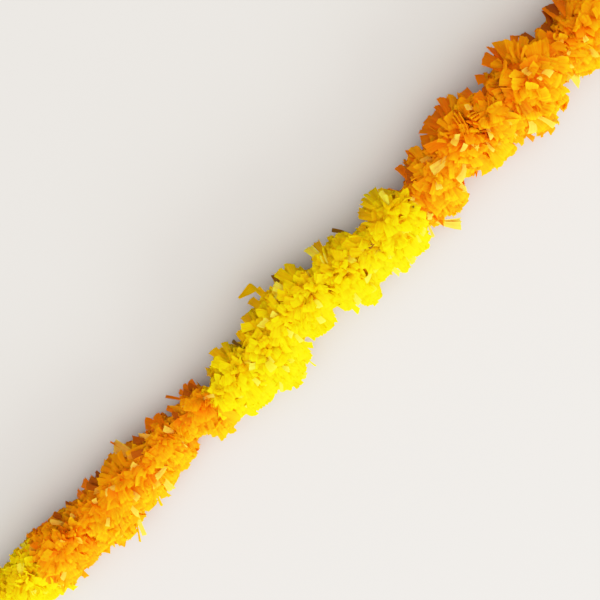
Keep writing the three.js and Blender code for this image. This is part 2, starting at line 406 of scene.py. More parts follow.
# ------------------------------------------------------------------ petals
def petal_block(rng, base, tip, m0, m1, side, width, spec, nx, ny):
    """A set of petals as closed thin leaves. Each argument is an array with one row per petal.
    Returns points (K, ny+1, nx+1, 3) and the petal's own coordinates."""
    K = len(base)
    a = np.linspace(-1, 1, nx + 1)[None, :].repeat(K, 0)
    # one column sits on the petal's main crease
    crease_col = rng.integers(1, nx, K)
    jit = rng.uniform(-0.5, 0.5, (K, nx + 1)) * (1.0 / nx)
    jit[:, 0] = 0
    jit[:, -1] = 0
    a = a + jit
    t = 1 - (1 - np.linspace(0, 1, ny + 1)) ** 1.25
    t = t[None, :].repeat(K, 0)
    # centreline: cubic from base to tip
    m0, m1 = m0[:, None, :], m1[:, None, :]
    T = t[..., None]
    h00 = 2 * T ** 3 - 3 * T ** 2 + 1
    h10 = T ** 3 - 2 * T ** 2 + T
    h01 = -2 * T ** 3 + 3 * T ** 2
    h11 = T ** 3 - T ** 2
    C = h00 * base[:, None, :] + h10 * m0 + h01 * tip[:, None, :] + h11 * m1
    D = ((6 * T ** 2 - 6 * T) * base[:, None, :] + (3 * T ** 2 - 4 * T + 1) * m0
         + (-6 * T ** 2 + 6 * T) * tip[:, None, :] + (3 * T ** 2 - 2 * T) * m1)
    D = unit(D)
    A = side[:, None, :] - (D @ side[:, :, None])[..., 0][..., None] * D
    A = unit(A)
    M = np.cross(D, A)
    roll = spec["roll0"][:, None] + (spec["roll1"])[:, None] * t ** 1.3
    cr, sr = np.cos(roll)[..., None], np.sin(roll)[..., None]
    A, M = A * cr + M * sr, M * cr - A * sr

    W = width[:, None, None]
    w0 = spec["w0"][:, None]
    prof = w0 + (1 - w0) * (t ** spec["wp"][:, None])
    ripple = 1 + 0.05 * np.sin(9 * t + spec["ph"][:, None])
    half = 0.5 * W * (prof * ripple)[:, :, None]
    aa = a[:, None, :]
    tt = t[:, :, None]
    X = aa * half
    # tip outline: cut across, rounded corners, one or two shallow notches
    ph = spec["ph"][:, None, None]
    lobes = spec["lobe"][:, None, None] * (np.cos(spec["lobn"][:, None, None] * math.pi * aa + ph) - 1)
    corner = -spec["corner"][:, None, None] * np.abs(aa) ** 3.5
    slant = spec["slant"][:, None, None] * aa
    g = np.clip((tt - 0.5) / 0.5, 0, 1) ** 1.6
    Y = (lobes + corner + slant) * W * g
    # relief: creases from the base to the tip, a cupped section, a frilled end
    flip = np.where(np.arange(nx + 1) % 2 == 0, 1.0, -1.0)[None, :] * spec["pleat"][:, None]
    zcol = rng.normal(0, 1, (K, nx + 1)) + flip
    zcol = zcol - zcol.mean(1, keepdims=True)
    fold = spec["fold"][:, None, None] * W * 0.12 * zcol[:, None, :] * tt ** 0.6
    vee = spec["vee"][:, None, None] * W * (np.abs(aa - a[np.arange(K), crease_col][:, None, None]) - 0.5) * tt ** 0.7
    cup = spec["cup"][:, None, None] * W * (aa ** 2 - 0.33) * (0.3 + 0.7 * tt)
    frill = spec["frill"][:, None, None] * W * np.sin(spec["frf"][:, None, None] * aa * math.pi + 2 * ph) * tt ** 3
    buckle = spec["buckle"][:, None, None] * W * np.sin(2 * math.pi * (1.2 * tt + ph)) * (1 - 0.3 * aa * np.sign(np.sin(ph)))
    Z = fold + vee + cup + frill + buckle * tt
    P = (C[:, :, None, :] + X[..., None] * A[:, :, None, :] + Z[..., None] * M[:, :, None, :]
         + Y[..., None] * D[:, :, None, :])
    return P, a, t


def grid_normals(P):
    du = np.empty_like(P)
    dv = np.empty_like(P)
    du[:, :, 1:-1] = P[:, :, 2:] - P[:, :, :-2]
    du[:, :, 0] = P[:, :, 1] - P[:, :, 0]
    du[:, :, -1] = P[:, :, -1] - P[:, :, -2]
    dv[:, 1:-1] = P[:, 2:] - P[:, :-2]
    dv[:, 0] = P[:, 1] - P[:, 0]
    dv[:, -1] = P[:, -1] - P[:, -2]
    return unit(np.cross(du, dv))


def close_block(P, a, t, rand, tone, thick, cells0, cells):
    """Turns sheets of petals into closed leaves that share their edge, with their colour data and map."""
    K, R, Cn, _ = P.shape
    Nrm = grid_normals(P)
    inner = np.zeros((R, Cn), bool)
    inner[1:-1, 1:-1] = True
    th = thick[:, None, None, None] * 0.5
    top = P + Nrm * th * inner[None, :, :, None]
    bot = P - Nrm * th * inner[None, :, :, None]
    n_grid = R * Cn
    inner_idx = np.flatnonzero(inner.ravel())
    per = n_grid + len(inner_idx)
    verts = np.concatenate([top.reshape(K, n_grid, 3), bot.reshape(K, n_grid, 3)[:, inner_idx]], 1)
    bot_id = np.arange(n_grid)
    bot_id[inner_idx] = n_grid + np.arange(len(inner_idx))
    r, c = np.meshgrid(np.arange(R - 1), np.arange(Cn - 1), indexing="ij")
    r, c = r.ravel(), c.ravel()
    q = np.stack([r * Cn + c, r * Cn + c + 1, (r + 1) * Cn + c + 1, (r + 1) * Cn + c], 1)
    top_f = q
    bot_f = bot_id[q][:, ::-1]
    faces = np.concatenate([top_f, bot_f], 0)
    F = (faces[None] + (np.arange(K) * per)[:, None, None]).reshape(-1, 4)
    # own coordinates per corner
    gidx = np.concatenate([q, q[:, ::-1]], 0)
    side = np.concatenate([np.zeros(len(q)), np.ones(len(q))])
    acr = ((a + 1) / 2)[:, None, :].repeat(R, 1).reshape(K, n_grid)
    alo = t[:, :, None].repeat(Cn, 2).reshape(K, n_grid)
    col = np.empty((K, len(faces), 4, 4), np.float32)
    col[..., 0] = acr[:, gidx]
    col[..., 1] = alo[:, gidx]
    col[..., 2] = rand[:, None, None]
    col[..., 3] = side[None, :, None]
    tn = np.empty((K, len(faces), 4, 4), np.float32)
    tn[..., :3] = tone[:, None, None, :]
    tn[..., 3] = 1
    # under side: the same tone as the top (factor left at 1)
    tn[..., :3] *= (1 + 0.0 * side)[None, :, None, None]
    # map: each side has its own cell
    uv = np.empty((K, len(faces), 4, 2), np.float32)
    cell = cells0 + np.arange(K) * 2
    for s in (0, 1):
        sel = side == s
        cx = ((cell + s) % cells)[:, None, None]
        cy = ((cell + s) // cells)[:, None, None]
        uv[..., 0][:, sel] = (cx + 0.06 + 0.88 * acr[:, gidx][:, sel]) / cells
        uv[..., 1][:, sel] = (cy + 0.06 + 0.88 * alo[:, gidx][:, sel]) / cells
    # the shared rim is a hard edge
    rim = []
    for k in range(Cn - 1):
        rim.append((k, k + 1))
        rim.append(((R - 1) * Cn + k, (R - 1) * Cn + k + 1))
    for k in range(R - 1):
        rim.append((k * Cn, (k + 1) * Cn))
        rim.append((k * Cn + Cn - 1, (k + 1) * Cn + Cn - 1))
    rim = np.array(rim)
    rims = (rim[None] + (np.arange(K) * per)[:, None, None]).reshape(-1, 2)
    return dict(v=verts.reshape(-1, 3), f=F, petal=col.reshape(-1, 4), tone=tn.reshape(-1, 4),
                uv=uv.reshape(-1, 2), rim=rims)


def settle(pts, i, rng_lim, floor_soft=5.0):
    """Presses a head between its neighbours and onto the surface, in the garland's own millimetres."""
    sl, sr = SURF[i], SURF[i + 1]
    R = HEADS[i][3]
    dl, rho = surface_gap(sl, pts)
    dr, _ = surface_gap(sr, pts)
    dr = -dr
    if sl["first"]:
        dl = dl + 40
    if sr["last"]:
        dr = dr + 40
    T = np.maximum(dl + dr, 7.0)
    s = (dl - dr) / T
    lim = 0.97 + rng_lim * np.clip((rho / R - 0.45) / 0.5, 0, 1)
    s0 = 0.50
    over = np.maximum(np.abs(s) - s0, 0)
    pressed = np.where(np.abs(s) > s0, s0 + (lim - s0) * np.tanh(over / (lim - s0)), np.abs(s))
    s2 = np.sign(s) * pressed
    n = unit(sl["n"] + sr["n"])
    pts = pts + ((s2 - s) * T / 2)[..., None] * n
    z = pts[..., 2]
    z2 = np.where(z < floor_soft, floor_soft * np.exp(np.clip((z - floor_soft) / floor_soft, -6, 0)), z)
    pts = pts.copy()
    pts[..., 2] = z2
    return pts


def trim(pts, slack, q0=0.90):
    """Draws in what stands past the garland's outline, softly, petal by petal."""
    plus, minus = edges(pts[..., 0])
    mid, half = (plus + minus) / 2, (plus - minus) / 2 * slack
    q = (pts[..., 1] - mid) / half
    over = np.maximum(np.abs(q) - q0, 0)
    held = np.where(np.abs(q) > q0, q0 + (1.13 - q0) * np.tanh(over / (1.13 - q0)), np.abs(q))
    pts = pts.copy()
    pts[..., 1] = mid + np.sign(q) * held * half
    return pts


TONES = {
    "orange": dict(base=(0.99, 0.448, 0.001), light=(0.99, 0.50, 0.002), deep=(0.97, 0.315, 0.001), pale=(1.0, 0.67, 0.075)),
    "yellow": dict(base=(0.99, 0.80, 0.001), light=(0.99, 0.85, 0.002), deep=(0.99, 0.71, 0.001), pale=(1.0, 0.93, 0.08)),
}


def petal_tones(rng, kind, K, pale_share):
    t = {k: np.array(v) for k, v in TONES[kind].items()}
    x = rng.normal(0, 1, K)[:, None]
    col = np.where(x > 0, t["base"] + (t["light"] - t["base"]) * np.clip(x * 0.6, 0, 1),
                   t["base"] + (t["deep"] - t["base"]) * np.clip(-x * 0.5, 0, 1))
    pale = rng.uniform(0, 1, K) < pale_share
    mixp = rng.uniform(0.25, 0.8, K)[:, None]
    col = np.where(pale[:, None], t["base"] * (1 - mixp) + t["pale"] * mixp, col)
    col = col * rng.uniform(0.93, 1.0, (K, 1))
    return col, pale


LOOK = {
    # width of a petal's end, crease depth and so on for each sort
    "orange": dict(width=(9.0, 2.0), blade=(15.5, 3.4), pleat=0.7, fold=0.42, vee=0.16, cup=0.08, frill=0.035, lobe=0.035,
                   corner=0.06, roll=0.13, twist=0.18, pale=0.055, w0=(0.22, 0.40), wp=(0.8, 1.2)),
    "yellow": dict(width=(7.8, 1.9), blade=(12.5, 3.2), pleat=0.5, fold=0.38, vee=0.12, cup=0.10, frill=0.06, lobe=0.045,
                   corner=0.11, roll=0.15, twist=0.20, pale=0.035, w0=(0.18, 0.34), wp=(0.7, 1.1)),
}

# Where each head's face looks: the middle of the face, along and sideways from the head's
# own middle, mm.
FACE = [
    (9.0, 3.0), (8.7, 6.4), (-6.4, 4.0), (5.2, 3.6), (-6.2, 6.2), (3.3, 4.1), (1.7, 6.2),
    (3.2, 3.7), (-4.2, 1.8), (-2.5, 2.3), (0.0, 7.5), (-2.4, 5.1), (-4.0, 7.7), (-2.3, 4.2),
    (1.5, 4.4), (1.5, 4.7), (-0.8, 7.0), (1.5, 2.0), (-0.7, 10.8), (-1.3, 5.4), (-3.3, 4.4),
    (7.3, 4.9), (-1.2, -0.1), (3.9, 3.9), (-5.0, 4.0), (2.0, 2.9), (-4.2, 1.9), (6.0, 3.0),
]
# how disordered a head is, 0.5 where it isn't named
MESS = {3: 0.9, 4: 1.2, 5: 0.8, 8: 0.7, 9: 0.9, 10: 0.6, 19: 0.9, 20: 0.9, 22: 0.8, 25: 0.9, 26: 0.9}


def face_direction(i):
    dx, dy = FACE[i]
    r = HEADS[i][3] * 0.85
    flat = min(math.hypot(dx, dy), 0.92 * r)
    k = flat / max(math.hypot(dx, dy), 1e-6)
    dz = math.sqrt(r * r - flat * flat)
    return unit(dx * k * e1 + dy * k * e2 + dz * back)


# Petals that catch the eye one by one. Each row: where its root shows and where its end lies
# (u along the picture's diagonal from the lower left corner, v across it towards the lower
# right corner, in pixels), the width of its end in pixels, its tone, how far its end stands
# off the flower (mm) and how far it is turned edge-on (degrees).
# A ninth value is the width of the root against the end, and a tenth marks a petal with no
# stem of its own, caught by its neighbours.
# Tone d puts the deep tone mostly on petals of the shaded upper-left fans, and r marks red-brown petals there: both are
# painted shade.
PLACED = [
    (568, 38, 592, 60, 11, "p", -24, 0, 0.10), (403, -24, 400, -47, 3, "b", -8, 10, 0.8),
    (400, -42.5, 382, -44.5, 2.2, "d", -8, 0, 4.6, "free"),
    # petals darkened to red-brown where the upper-left side lies in shade: painted shade
    (152, -7, 148, -22, 9, "r", 1, 0), (158, -7, 157, -22, 8, "r", 1, 0), (146, -7, 142, -20, 7, "r", 1, 0),
    (290, -8, 284, -18, 8, "r", 1, 0), (281, -8, 277, -18, 6, "r", 1, 0), (214, -10, 207, -19, 9, "r", 1, 0),
    (206, -3, 195, -9, 8, "r", 1, 0), (259, -1, 252, -9, 8, "r", 1, 0), (730, -4, 715, -9, 11, "r", 1.5, 0),
    (731, -9, 719, -16, 8, "r", 1.5, 0), (772, -19, 768, -32, 9, "r", 0, 0), (808, -20, 809, -33, 9, "r", 0, 0),
    (800, -20, 803, -32, 8, "r", 0, 0), (798, -11, 788, -23, 9, "r", 1, 0), (593, -3, 585, -10, 9, "r", 1, 0),
    (597, -8, 592, -19, 8, "r", 1, 0), (102, -13, 98, -23, 7, "r", 0, 0), (118, -12, 115, -22, 7, "r", 0, 0),
    # left yellow heads
    (38, -16, 36, -23, 8, "l", 1, 0), (30, 14, 27, 10, 6, "l", 1, 10), (31, 21, 27, 18, 5, "p", 1, 0),
    (40, 27, 43, 30, 7, "l", 1, 0), (66, 29, 58, 29, 5, "p", 1, 20),
    # left orange heads
    (92, -22, 102, -23, 4, "l", 2, 30), (95, -14, 91, -20, 6, "p", 2, 0), (105, -7, 113, -8, 7, "p", 2, 10),
    (118, -9, 112, -19, 6, "l", 2, 0), (134, 1, 138, -5, 5, "p", 2, 20), (151, 7, 146, -5, 7, "l", 2, 0),
    (136, 18, 128, 24, 4, "p", 1, 10), (155, 28, 159, 37, 6, "p", 2, 0), (120, 14, 112, 22, 8, "l", 2, 0),
    (100, -3, 96, 6, 9, "b", 2, 0), (75, -4, 68, 8, 9, "d", 1, 0), (88, 6, 80, 16, 8, "b", 2, 10),
    (134, -6, 130, -22, 10, "d", -3, 0), (144, -6, 142, -25, 10, "d", -3, 10), (152, -5, 150, -22, 9, "d", -3, 0),
    (168, 2, 150, -1, 6, "p", 3, 25), (161, -7, 153, -15, 7, "l", 3, 0),
    (172, 2, 158, -18, 6, "l", 2, 15), (172, 0, 165, -22, 6, "b", 2, 0), (173, 0, 171, -24, 6, "l", 2, 0),
    (174, 0, 177, -25, 5, "b", 2, 15), (176, -1, 183, -24, 6, "l", 2, 0), (178, -2, 189, -21, 6, "b", 2, 10),
    (195, -11, 190, -29, 13, "p", 1, 0), (193, -20, 190, -34, 2, "d", 1, 0), (190, 6, 188, -3, 9, "p", 3, 0),
    (200, 6, 186, 12, 10, "l", 2, 10), (216, 26, 196, 24, 5.5, "p", 3, 10), (214, -9, 192, -14, 4.5, "l", 3, 20),
    (222, -11, 214, -17, 7, "p", 1, 0), (240, -7, 227, -23, 12, "d", 1, 0), (239, -7, 241, -21, 8, "d", 1, 10),
    (240, 7, 237, -6, 6, "p", 3, 30), (232, 0, 226, 7, 5, "l", 3, 10), (212, 14, 206, 20, 8, "l", 2, 0),
    (190, 34, 190, 46, 10, "l", 1, 0), (201, 33, 200, 44, 8, "p", 0, 0), (183, 38, 181, 48, 3, "l", 0, 0),
    (152, 42, 140, 58, 2.5, "b", 0, 15), (153, 43, 148, 57, 4.5, "p", -2, 0, 0.9),
    (258, -8, 254, -18, 6, "d", 1, 0), (266, -3, 255, -14, 9, "l", 3, 0), (275, -8, 261, -27, 3, "d", 2, 0),
    (280, -8, 274, -21, 6, "d", 0, 0), (283, -8, 281, -22, 7, "d", 0, 0), (286, -8, 289, -21, 7, "d", 0, 0),
    (274, 1, 285, -11, 3, "l", 4, 20), (282, -4, 296, 7, 3.5, "p", 4, 20), (283, -9, 293, 2, 3, "l", 3, 20),
    (280, 6, 268, 37, 7, "b", 1, 0), (280, 6, 272, 45, 7, "b", 1, 0), (281, 6, 277, 44, 6, "l", 1, 15),
    (282, 6, 284, 48, 7, "b", 1, 0), (283, 6, 291, 43, 7, "b", 1, 0), (284, 6, 299, 42, 8, "l", 1, 0),
    (262, -2, 246, 1, 7, "d", 1, 0), (250, 14, 262, 13, 5, "l", 2, 10),
    # middle yellow heads
    (318, -4, 307, -16, 8, "d", 1, 0), (328, -8, 327, -28, 10, "d", 1, 0), (333, -8, 341, -24, 7, "b", 1, 0),
    (346, -9, 348, -19, 5, "k", -1, 0), (352, -10, 360, -22, 8, "d", 1, 0), (372, -16, 374, -29, 9, "d", 1, 0),
    (304, 1, 314, -6, 6, "l", 3, 0), (336, 21, 336, 31, 5, "p", 2, 0), (346, 18, 341, 11, 7, "p", 2, 20),
    (312, 46, 312, 36, 4, "p", 1, 0), (362, 16, 361, 26, 3, "p", 2, 0), (356, 44, 346, 52, 3.5, "p", 1, 0),
    (384, -3, 381, -13, 10, "p", 3, 0), (397, -4, 394, -11, 6, "p", 3, 0), (376, -14, 362, -22, 9, "l", 2, 0),
    (391, 10, 394, 20, 6, "p", 2, 0), (396, 22, 396, 31, 4.5, "p", 2, 0), (392, 36, 402, 41, 6, "b", 0, 0),
    (385, 47, 389, 58, 1.5, "l", 0, 0), (362, 36, 368, 42, 5, "p", 1, 0),
    (392, -20, 389, -36, 9, "d", 0, 0), (403, -24, 402, -38, 7, "d", 0, 0),
    (418, -19, 416, -29, 9, "p", 2, 0), (418, -27, 423, -37, 6.0, "k", 0, 0), (432, -17, 428, -36, 11, "b", 1, 0),
    (436, -17, 442, -34, 9, "b", 1, 10), (424, 24, 425, 33, 6, "p", 2, 0), (436, 11, 433, 20, 6, "p", 2, 15),
    (468, -19, 466, -32, 9, "p", 0, 0), (475, -19, 476, -30, 8, "d", 0, 0), (470, -12, 478, -21, 4, "l", 4, 40),
    (463, -5, 470, -17, 3, "p", 4, 50), (467, -4, 474, -16, 3, "p", 4, 60), (508, -13, 496, -27, 6.0, "k", 0, 25, 0.5),
    (509, -5, 503, -16, 3, "l", 3, 10), (521, 0, 519, -11, 8, "d", 1, 0), (527, 0, 524, -11, 5, "l", 2, 30),
    (505, 13, 516, 12, 4, "k", 2, 0), (534, -5, 527, -21, 10, "d", 2, 0),
    (546, -3, 536, -25, 5, "b", 1, 10), (547, -3, 540, -28, 4.5, "b", 1, 0), (548, -3, 545, -29, 4.5, "l", 1, 10),
    (549, -3, 550, -28, 4.5, "b", 1, 0), (550, -3, 555, -27, 4.5, "b", 1, 10), (551, -3, 560, -23, 4.5, "b", 1, 0),
    (552, -3, 563, -19, 4.5, "b", 1, 10), (553, -2, 566, -14, 5, "b", 1, 0),
    (557, -12, 558, -20, 5, "p", 3, 0), (556, -8, 559, -14, 3.5, "p", 4, 0), (536, 1, 535, 19, 3.5, "p", 3, 30),
    (466, 35, 464, 45, 6, "p", 1, 0), (493, 35, 484, 33, 4.5, "p", 2, 0), (502, 26, 492, 28, 6, "l", 2, 0),
    (478, 10, 462, 14, 6, "l", 3, 0), (455, 40, 458, 50, 6, "l", 0, 0), (512, 42, 513, 52, 5, "p", 0, 0),
    (530, 28, 520, 20, 10, "b", 2, 0),
    # right orange heads
    (585, 4, 574, 9, 4, "p", 4, 20), (566, 12, 571, 15, 3, "k", 3, 0), (580, 29, 573, 35, 4, "p", 1, 0),
    (568, 39, 563, 50, 3, "p", 0, 0),
    (590, -6, 588, -26, 8, "d", 0, 0), (600, -8, 607, -30, 8, "d", 0, 0), (611, -8, 612, -28, 9, "l", 1, 0),
    (602, 2, 584, 4, 10, "l", 3, 0), (600, 10, 588, 14, 12, "l", 3, 0), (627, 5, 608, 2, 9, "p", 3, 10),
    (608, 9, 601, 21, 6, "p", 3, 0), (637, 27.5, 620, 28, 6, "p", 1, 0), (612, 40, 622, 35, 7, "p", 0, 0),
    (590, 36, 588, 44, 7, "l", 0, 0), (640, 12, 652, 7, 4.5, "p", 3, 10),
    (655, -7, 619, -17, 9, "d", 1, 0), (655, -8, 622, -27, 9, "d", 1, 8), (655, -8, 631, -35, 9, "d", 1, 0),
    (655, -8, 641, -39, 9, "d", 1, 8), (656, -8, 650, -38, 9, "d", 1, 0), (657, -9, 659, -41, 9, "d", 1, 8),
    (658, -9, 668, -43, 9, "d", 1, 0), (660, -9, 677, -38, 8, "l", 1, 8),
    (654, -13, 648, -30, 5, "l", 4, 10), (657, -18, 660, -27, 9, "b", 4, 0), (640, -10, 634, -16, 4, "l", 4, 20),
    (645, -12, 641, -19, 3.5, "l", 4, 20), (643, 1, 653, -6, 4.5, "p", 3, 0),
    (657, 12, 662, -22, 4, "b", 3, 70), (660, 13, 666, -24, 4, "l", 3, 65), (663, 14, 669, -21, 4, "b", 3, 72),
    (690, -10, 672, -12, 4, "l", 3, 60), (690, -6, 673, -8, 4, "l", 3, 65), (690, -3, 674, -4, 4, "b", 3, 60),
    (686, -15, 677, -19, 5.5, "p", 4, 0), (690, -17, 686, -33, 12, "d", 0, 0), (694, -6, 694, -22, 10, "d", 0, 10),
    (681, 7, 674, 22, 4, "p", 4, 0), (665, 24, 667, 32, 3, "p", 2, 0), (662, 16, 657, 18, 3, "p", 3, 0),
    (717, 6, 692, 6, 14, "b", 3, 0), (722, -23, 704, -31, 9, "d", 0, 0), (716, -6, 704, -12, 9, "d", 0, 0),
    (732, -3, 721, -6, 7, "b", 3, 0), (737, -2, 735, -12, 8, "l", 3, 0), (733, -18, 719, -20, 6, "b", 3, 20),
    (735, -14, 725, -42, 14, "d", 1, 0), (736, -15, 737, -45, 9, "d", 1, 12), (738, -15, 747, -44, 10, "b", 1, 0),
    (740, -15, 756, -37, 8, "l", 1, 10), (742, -15, 763, -36, 7, "d", 0, 0), (744, -14, 769, -27, 9, "b", 1, 0),
    (744, -18, 752, -31, 4, "l", 3, 40), (748, -16, 760, -28, 3.5, "b", 3, 45), (746, -14, 764, -20, 4, "b", 3, 40),
    (761, 8, 762, 19, 6.5, "p", 3, 0), (779, 9, 782, 19, 5, "p", 3, 10), (796, 13, 787, 16, 3, "p", 3, 0),
    (757, 14, 749, 13, 4, "p", 3, 20), (720, 40, 706, 46, 8, "p", 1, 0), (727, 46, 727, 57, 5, "p", 0, 0),
    (778, 32, 777, 43, 14, "p", -2, 0), (762, 34, 758, 43, 8, "l", -1, 0),
    (727, 24, 711, 20, 10, "b", 3, 0), (727, 25, 716, 38, 11, "l", 3, 0), (728, 26, 735, 45, 10, "b", 3, 0),
    (729, 24, 748, 30, 12, "l", 3, 0), (729, 22, 742, 10, 12, "l", 3, 0), (727, 21, 722, 8, 7, "b", 3, 20),
    (789, 5, 799, -2, 8, "l", 4, 0), (813, 9, 810, 20, 4, "p", 3, 0), (806, -3, 813, 5, 6, "l", 3, 20),
    (796, -5, 799, -13, 3, "l", 4, 20), (780, -6, 793, -11, 9, "d", 2, 0), (760, -5, 772, -10, 8, "b", 2, 0),
    (790, -8, 785, -25, 12, "d", -1, 0), (806, -12, 806, -33, 10, "d", 0, 0), (814, -10, 818, -32, 9, "d", 0, 8),
    (700, 38, 703, 52, 5, "d", 0, 0), (658, 28, 648, 43, 13, "b", 1, 0), (664, 28, 662, 48, 12, "l", 1, 0),
    (684, 34, 683, 47, 6, "b", 0, 0), (694, 34, 693, 47, 6, "b", 0, 0),
]
BROWN = (0.40, 0.21, 0.014)
# red-brown for petals on the shaded upper-left side: painted shade
PAINTED_SHADE_RUSSET = (0.60, 0.15, 0.004)


def top_height(x, y):
    """Height of the flowers' outside at a place along and across the garland, mm."""
    k = min(range(N), key=lambda j: abs(HEADS[j][1] - x))
    R = HEADS[k][3]
    plus, minus = edges(np.array([x]))
    q = (y - (plus[0] + minus[0]) / 2) / ((plus[0] - minus[0]) / 2)
    return R * REST + 0.93 * R * math.sqrt(max(0.0, 1 - q * q))


def seen(u, v, off):
    """The point of the garland's outside, off mm above it, that shows at a pixel."""
    px, py = (u + v) / math.sqrt(2), 600 - (u - v) / math.sqrt(2)
    ray = right * (px - 300) / 300 * 0.36 + up * (300 - py) / 300 * 0.36 - back
    z = 30.0
    for _ in range(6):
        t = (z - eye[2] / MM) / ray[2]
        p = eye / MM + ray * t - SHIFT
        z = 0.5 * z + 0.5 * max(top_height(p[0], p[1]) + off, 3.0)
    return p


PLACED_ROWS = {}
for row in PLACED:
    at = seen(row[0], row[1], 0.0)
    sort = "yellow" if row[0] < 62 or 292 < row[0] < 562 else "orange"
    owner = min((j for j in range(N) if HEADS[j][0] == sort), key=lambda j: abs(HEADS[j][1] - at[0]))
    PLACED_ROWS.setdefault(owner, []).append(row)


# Gaps between flowers that reach in from the outline: from, to and half width, in pixels.
GAPS = [
    (523, -26, 531, -9, 2.2), (456, -24, 456, -18, 2.2), (357, -26, 357, -15, 3.0), (443, 40, 443, 33, 3.5),
    (400, 42, 400, 34, 4.0), (462, 50, 462, 45, 2.0), (495, 54, 495, 47, 2.5), (567, 50, 567, 43, 2.5),
    (700, -34, 700, -19, 4.5), (720, -36, 720, -28, 1.6), (616, -28, 616, -22, 2.2), (586, -26, 586, -13, 3.0),
    (574, -18, 574, -10, 3.5), (627, 46, 627, 34, 3.0), (642, 44, 641, 37, 2.5), (763, 50, 763, 38, 4.0),
    (701, 54, 701, 46, 1.6), (773, -36, 773, -23, 3.5), (299, -14, 300, -7, 3.5), (252, -18, 252, -12, 3.0),
    (262, 34, 256, 30, 3.5), (340, 60, 340, 54, 2.5), (468, 60, 468, 56, 2.5), (452, -26, 452, -19, 2.5),
    (509, -22, 509, -14, 4.0), (524, -22, 524, -11, 3.0), (348, -24, 348, -18, 2.5), (140, 60, 140, 52, 3.0),
]


def clear_gaps(P, core):
    """Draws back the petals that would fill a gap; P is (K, R, C, 3)."""
    K = len(P)
    for _ in range(8):
        flat = P[:, 1:].reshape(-1, 3)
        u, v = pixels(flat)
        bad = np.zeros(len(u), bool)
        for u0, v0, u1, v1, rad in GAPS:
            du, dv = u1 - u0, v1 - v0
            k = np.clip(((u - u0) * du + (v - v0) * dv) / (du * du + dv * dv), 0, 1)
            bad |= np.hypot(u - u0 - k * du, v - v0 - k * dv) < rad
        bad = bad.reshape(K, -1).any(1)
        if not bad.any():
            break
        P = P.copy()
        P[bad] = core + (P[bad] - core) * 0.93
    return P


def pixels(pts):
    """Where points of the garland show: u along the picture's diagonal, v across it."""
    rel = pts + SHIFT - eye / MM
    depth = -(rel @ back)
    px = 300 + 300 / 0.36 * (rel @ right) / depth
    py = 300 - 300 / 0.36 * (rel @ up) / depth
    return (px - py + 600) / math.sqrt(2), (px + py - 600) / math.sqrt(2)


def under_placed(u, v):
    """True where a pixel lies under one of the petals that are placed one by one."""
    hit = np.zeros(len(u), bool)
    for row in PLACED:
        ru, rv, tu, tv, w = row[:5]
        if row[7] > 45:
            w = 2
        du, dv = tu - ru, tv - rv
        k = np.clip(((u - ru) * du + (v - rv) * dv) / (du * du + dv * dv), 0.15, 1.08)
        gap = np.hypot(u - ru - k * du, v - rv - k * dv)
        hit |= gap < 0.5 * w * (0.4 + 0.6 * k) + 1.5
    return hit


